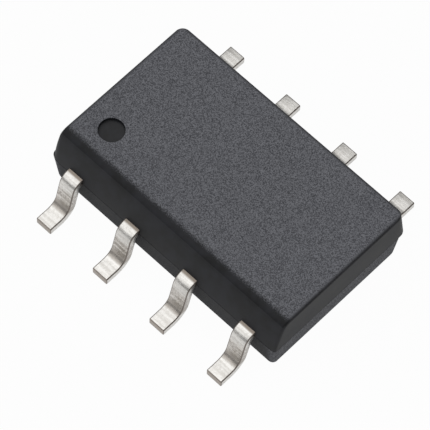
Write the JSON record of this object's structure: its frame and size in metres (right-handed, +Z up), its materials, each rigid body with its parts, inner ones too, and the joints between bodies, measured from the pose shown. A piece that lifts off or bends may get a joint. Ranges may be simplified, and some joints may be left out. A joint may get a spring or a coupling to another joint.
{
  "type": "surface-mount memory chip",
  "caption": "Small black moulded memory chip with gull-wing leads along both long sides, a bevel and a round dimple that mark pin one, and its die, pad and bond wires inside.",
  "frame": {"origin": "middle of the eight feet on the seating plane, straight below the middle of the moulding", "axes": "+X along the rows of leads, away from the dimple's end; +Z up, out of the top face; the dimple and the bevel are on the -Y side"},
  "size_m": [0.005, 0.0046, 0.0013],
  "materials": {
    "mould_compound": "fine spark-eroded grain on top, smoother sides",
    "tinned_lead": "matte tin plate with forming streaks",
    "copper_frame": "bare rolled copper alloy",
    "silver_adhesive": "silver-filled epoxy, cured",
    "silicon": "polished silicon with printed layers",
    "gold_wire": "drawn gold"
  },
  "bodies": {
    "root": {"mould_body": "mould_compound", "die_pad": "copper_frame", "die_adhesive": "silver_adhesive", "silicon_die": "silicon", "lead_1": "tinned_lead", "lead_2": "tinned_lead", "lead_3": "tinned_lead", "lead_4": "tinned_lead", "lead_5": "tinned_lead", "lead_6": "tinned_lead", "lead_7": "tinned_lead", "lead_8": "tinned_lead", "bond_wire_1": "gold_wire", "bond_wire_2": "gold_wire", "bond_wire_3": "gold_wire", "bond_wire_4": "gold_wire", "bond_wire_5": "gold_wire", "bond_wire_6": "gold_wire", "bond_wire_7": "gold_wire", "bond_wire_8": "gold_wire"}
  },
  "joints": []
}
